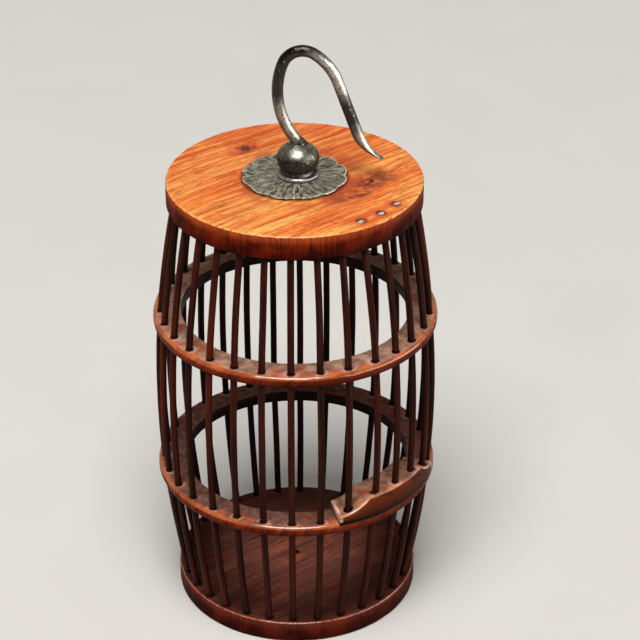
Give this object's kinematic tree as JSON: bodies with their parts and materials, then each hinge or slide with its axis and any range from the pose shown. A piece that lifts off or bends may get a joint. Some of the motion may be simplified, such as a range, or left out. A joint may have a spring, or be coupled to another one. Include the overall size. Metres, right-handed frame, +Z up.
{
  "type": "cricket cage",
  "caption": "Barrel-shaped hardwood cage for a singing cricket, with bent bars through two flat hoops, a sliding bar door, turned lid and base, and a swivelling iron hook.",
  "frame": {"origin": "middle of the underside of the base, on the table", "axes": "+Z up along the cage's axis; -Y towards the front, where the picture was taken; +X to the right"},
  "size_m": [0.1142, 0.1142, 0.2432],
  "materials": {
    "disc_wood": "waxed, open straight grain",
    "hoop_wood": "waxed, worn edges",
    "bar_wood": "dark stain, satin",
    "iron": "dark, rubbed bright on high spots"
  },
  "bodies": {
    "cage": {"base": "disc_wood", "lower_hoop": "hoop_wood", "upper_hoop": "hoop_wood", "lid": "disc_wood", "bar_01": "bar_wood", "bar_02": "bar_wood", "bar_03": "bar_wood", "bar_07": "bar_wood", "bar_08": "bar_wood", "bar_09": "bar_wood", "bar_10": "bar_wood", "bar_11": "bar_wood", "bar_12": "bar_wood", "bar_13": "bar_wood", "bar_14": "bar_wood", "bar_15": "bar_wood", "bar_16": "bar_wood", "bar_17": "bar_wood", "bar_18": "bar_wood", "bar_19": "bar_wood", "bar_20": "bar_wood", "bar_21": "bar_wood", "bar_22": "bar_wood", "bar_23": "bar_wood", "bar_24": "bar_wood", "bar_25": "bar_wood", "bar_26": "bar_wood", "bar_27": "bar_wood", "bar_28": "bar_wood", "bar_29": "bar_wood", "bar_30": "bar_wood", "short_bar_1": "bar_wood", "short_bar_2": "bar_wood", "short_bar_3": "bar_wood", "rosette": "iron", "collar": "iron", "washer": "iron"},
    "door": {"door_foot": "hoop_wood", "door_bar_1": "bar_wood", "door_bar_2": "bar_wood", "door_bar_3": "bar_wood"},
    "hook": {"swivel_pin": "iron", "bead": "iron", "hook": "iron"}
  },
  "joints": [
    {"name": "door_lift", "type": "hinge", "parent": "cage", "child": "door", "pos_m": [-0.27493, 0.25908, 0.0936], "axis": [-0.6858, -0.7278, 0], "range_deg": [0, 7.1]},
    {"name": "hook_swivel", "type": "hinge", "parent": "cage", "child": "hook", "pos_m": [0.0014, 0, 0.188], "axis": [0, 0, 1], "continuous": true}
  ]
}
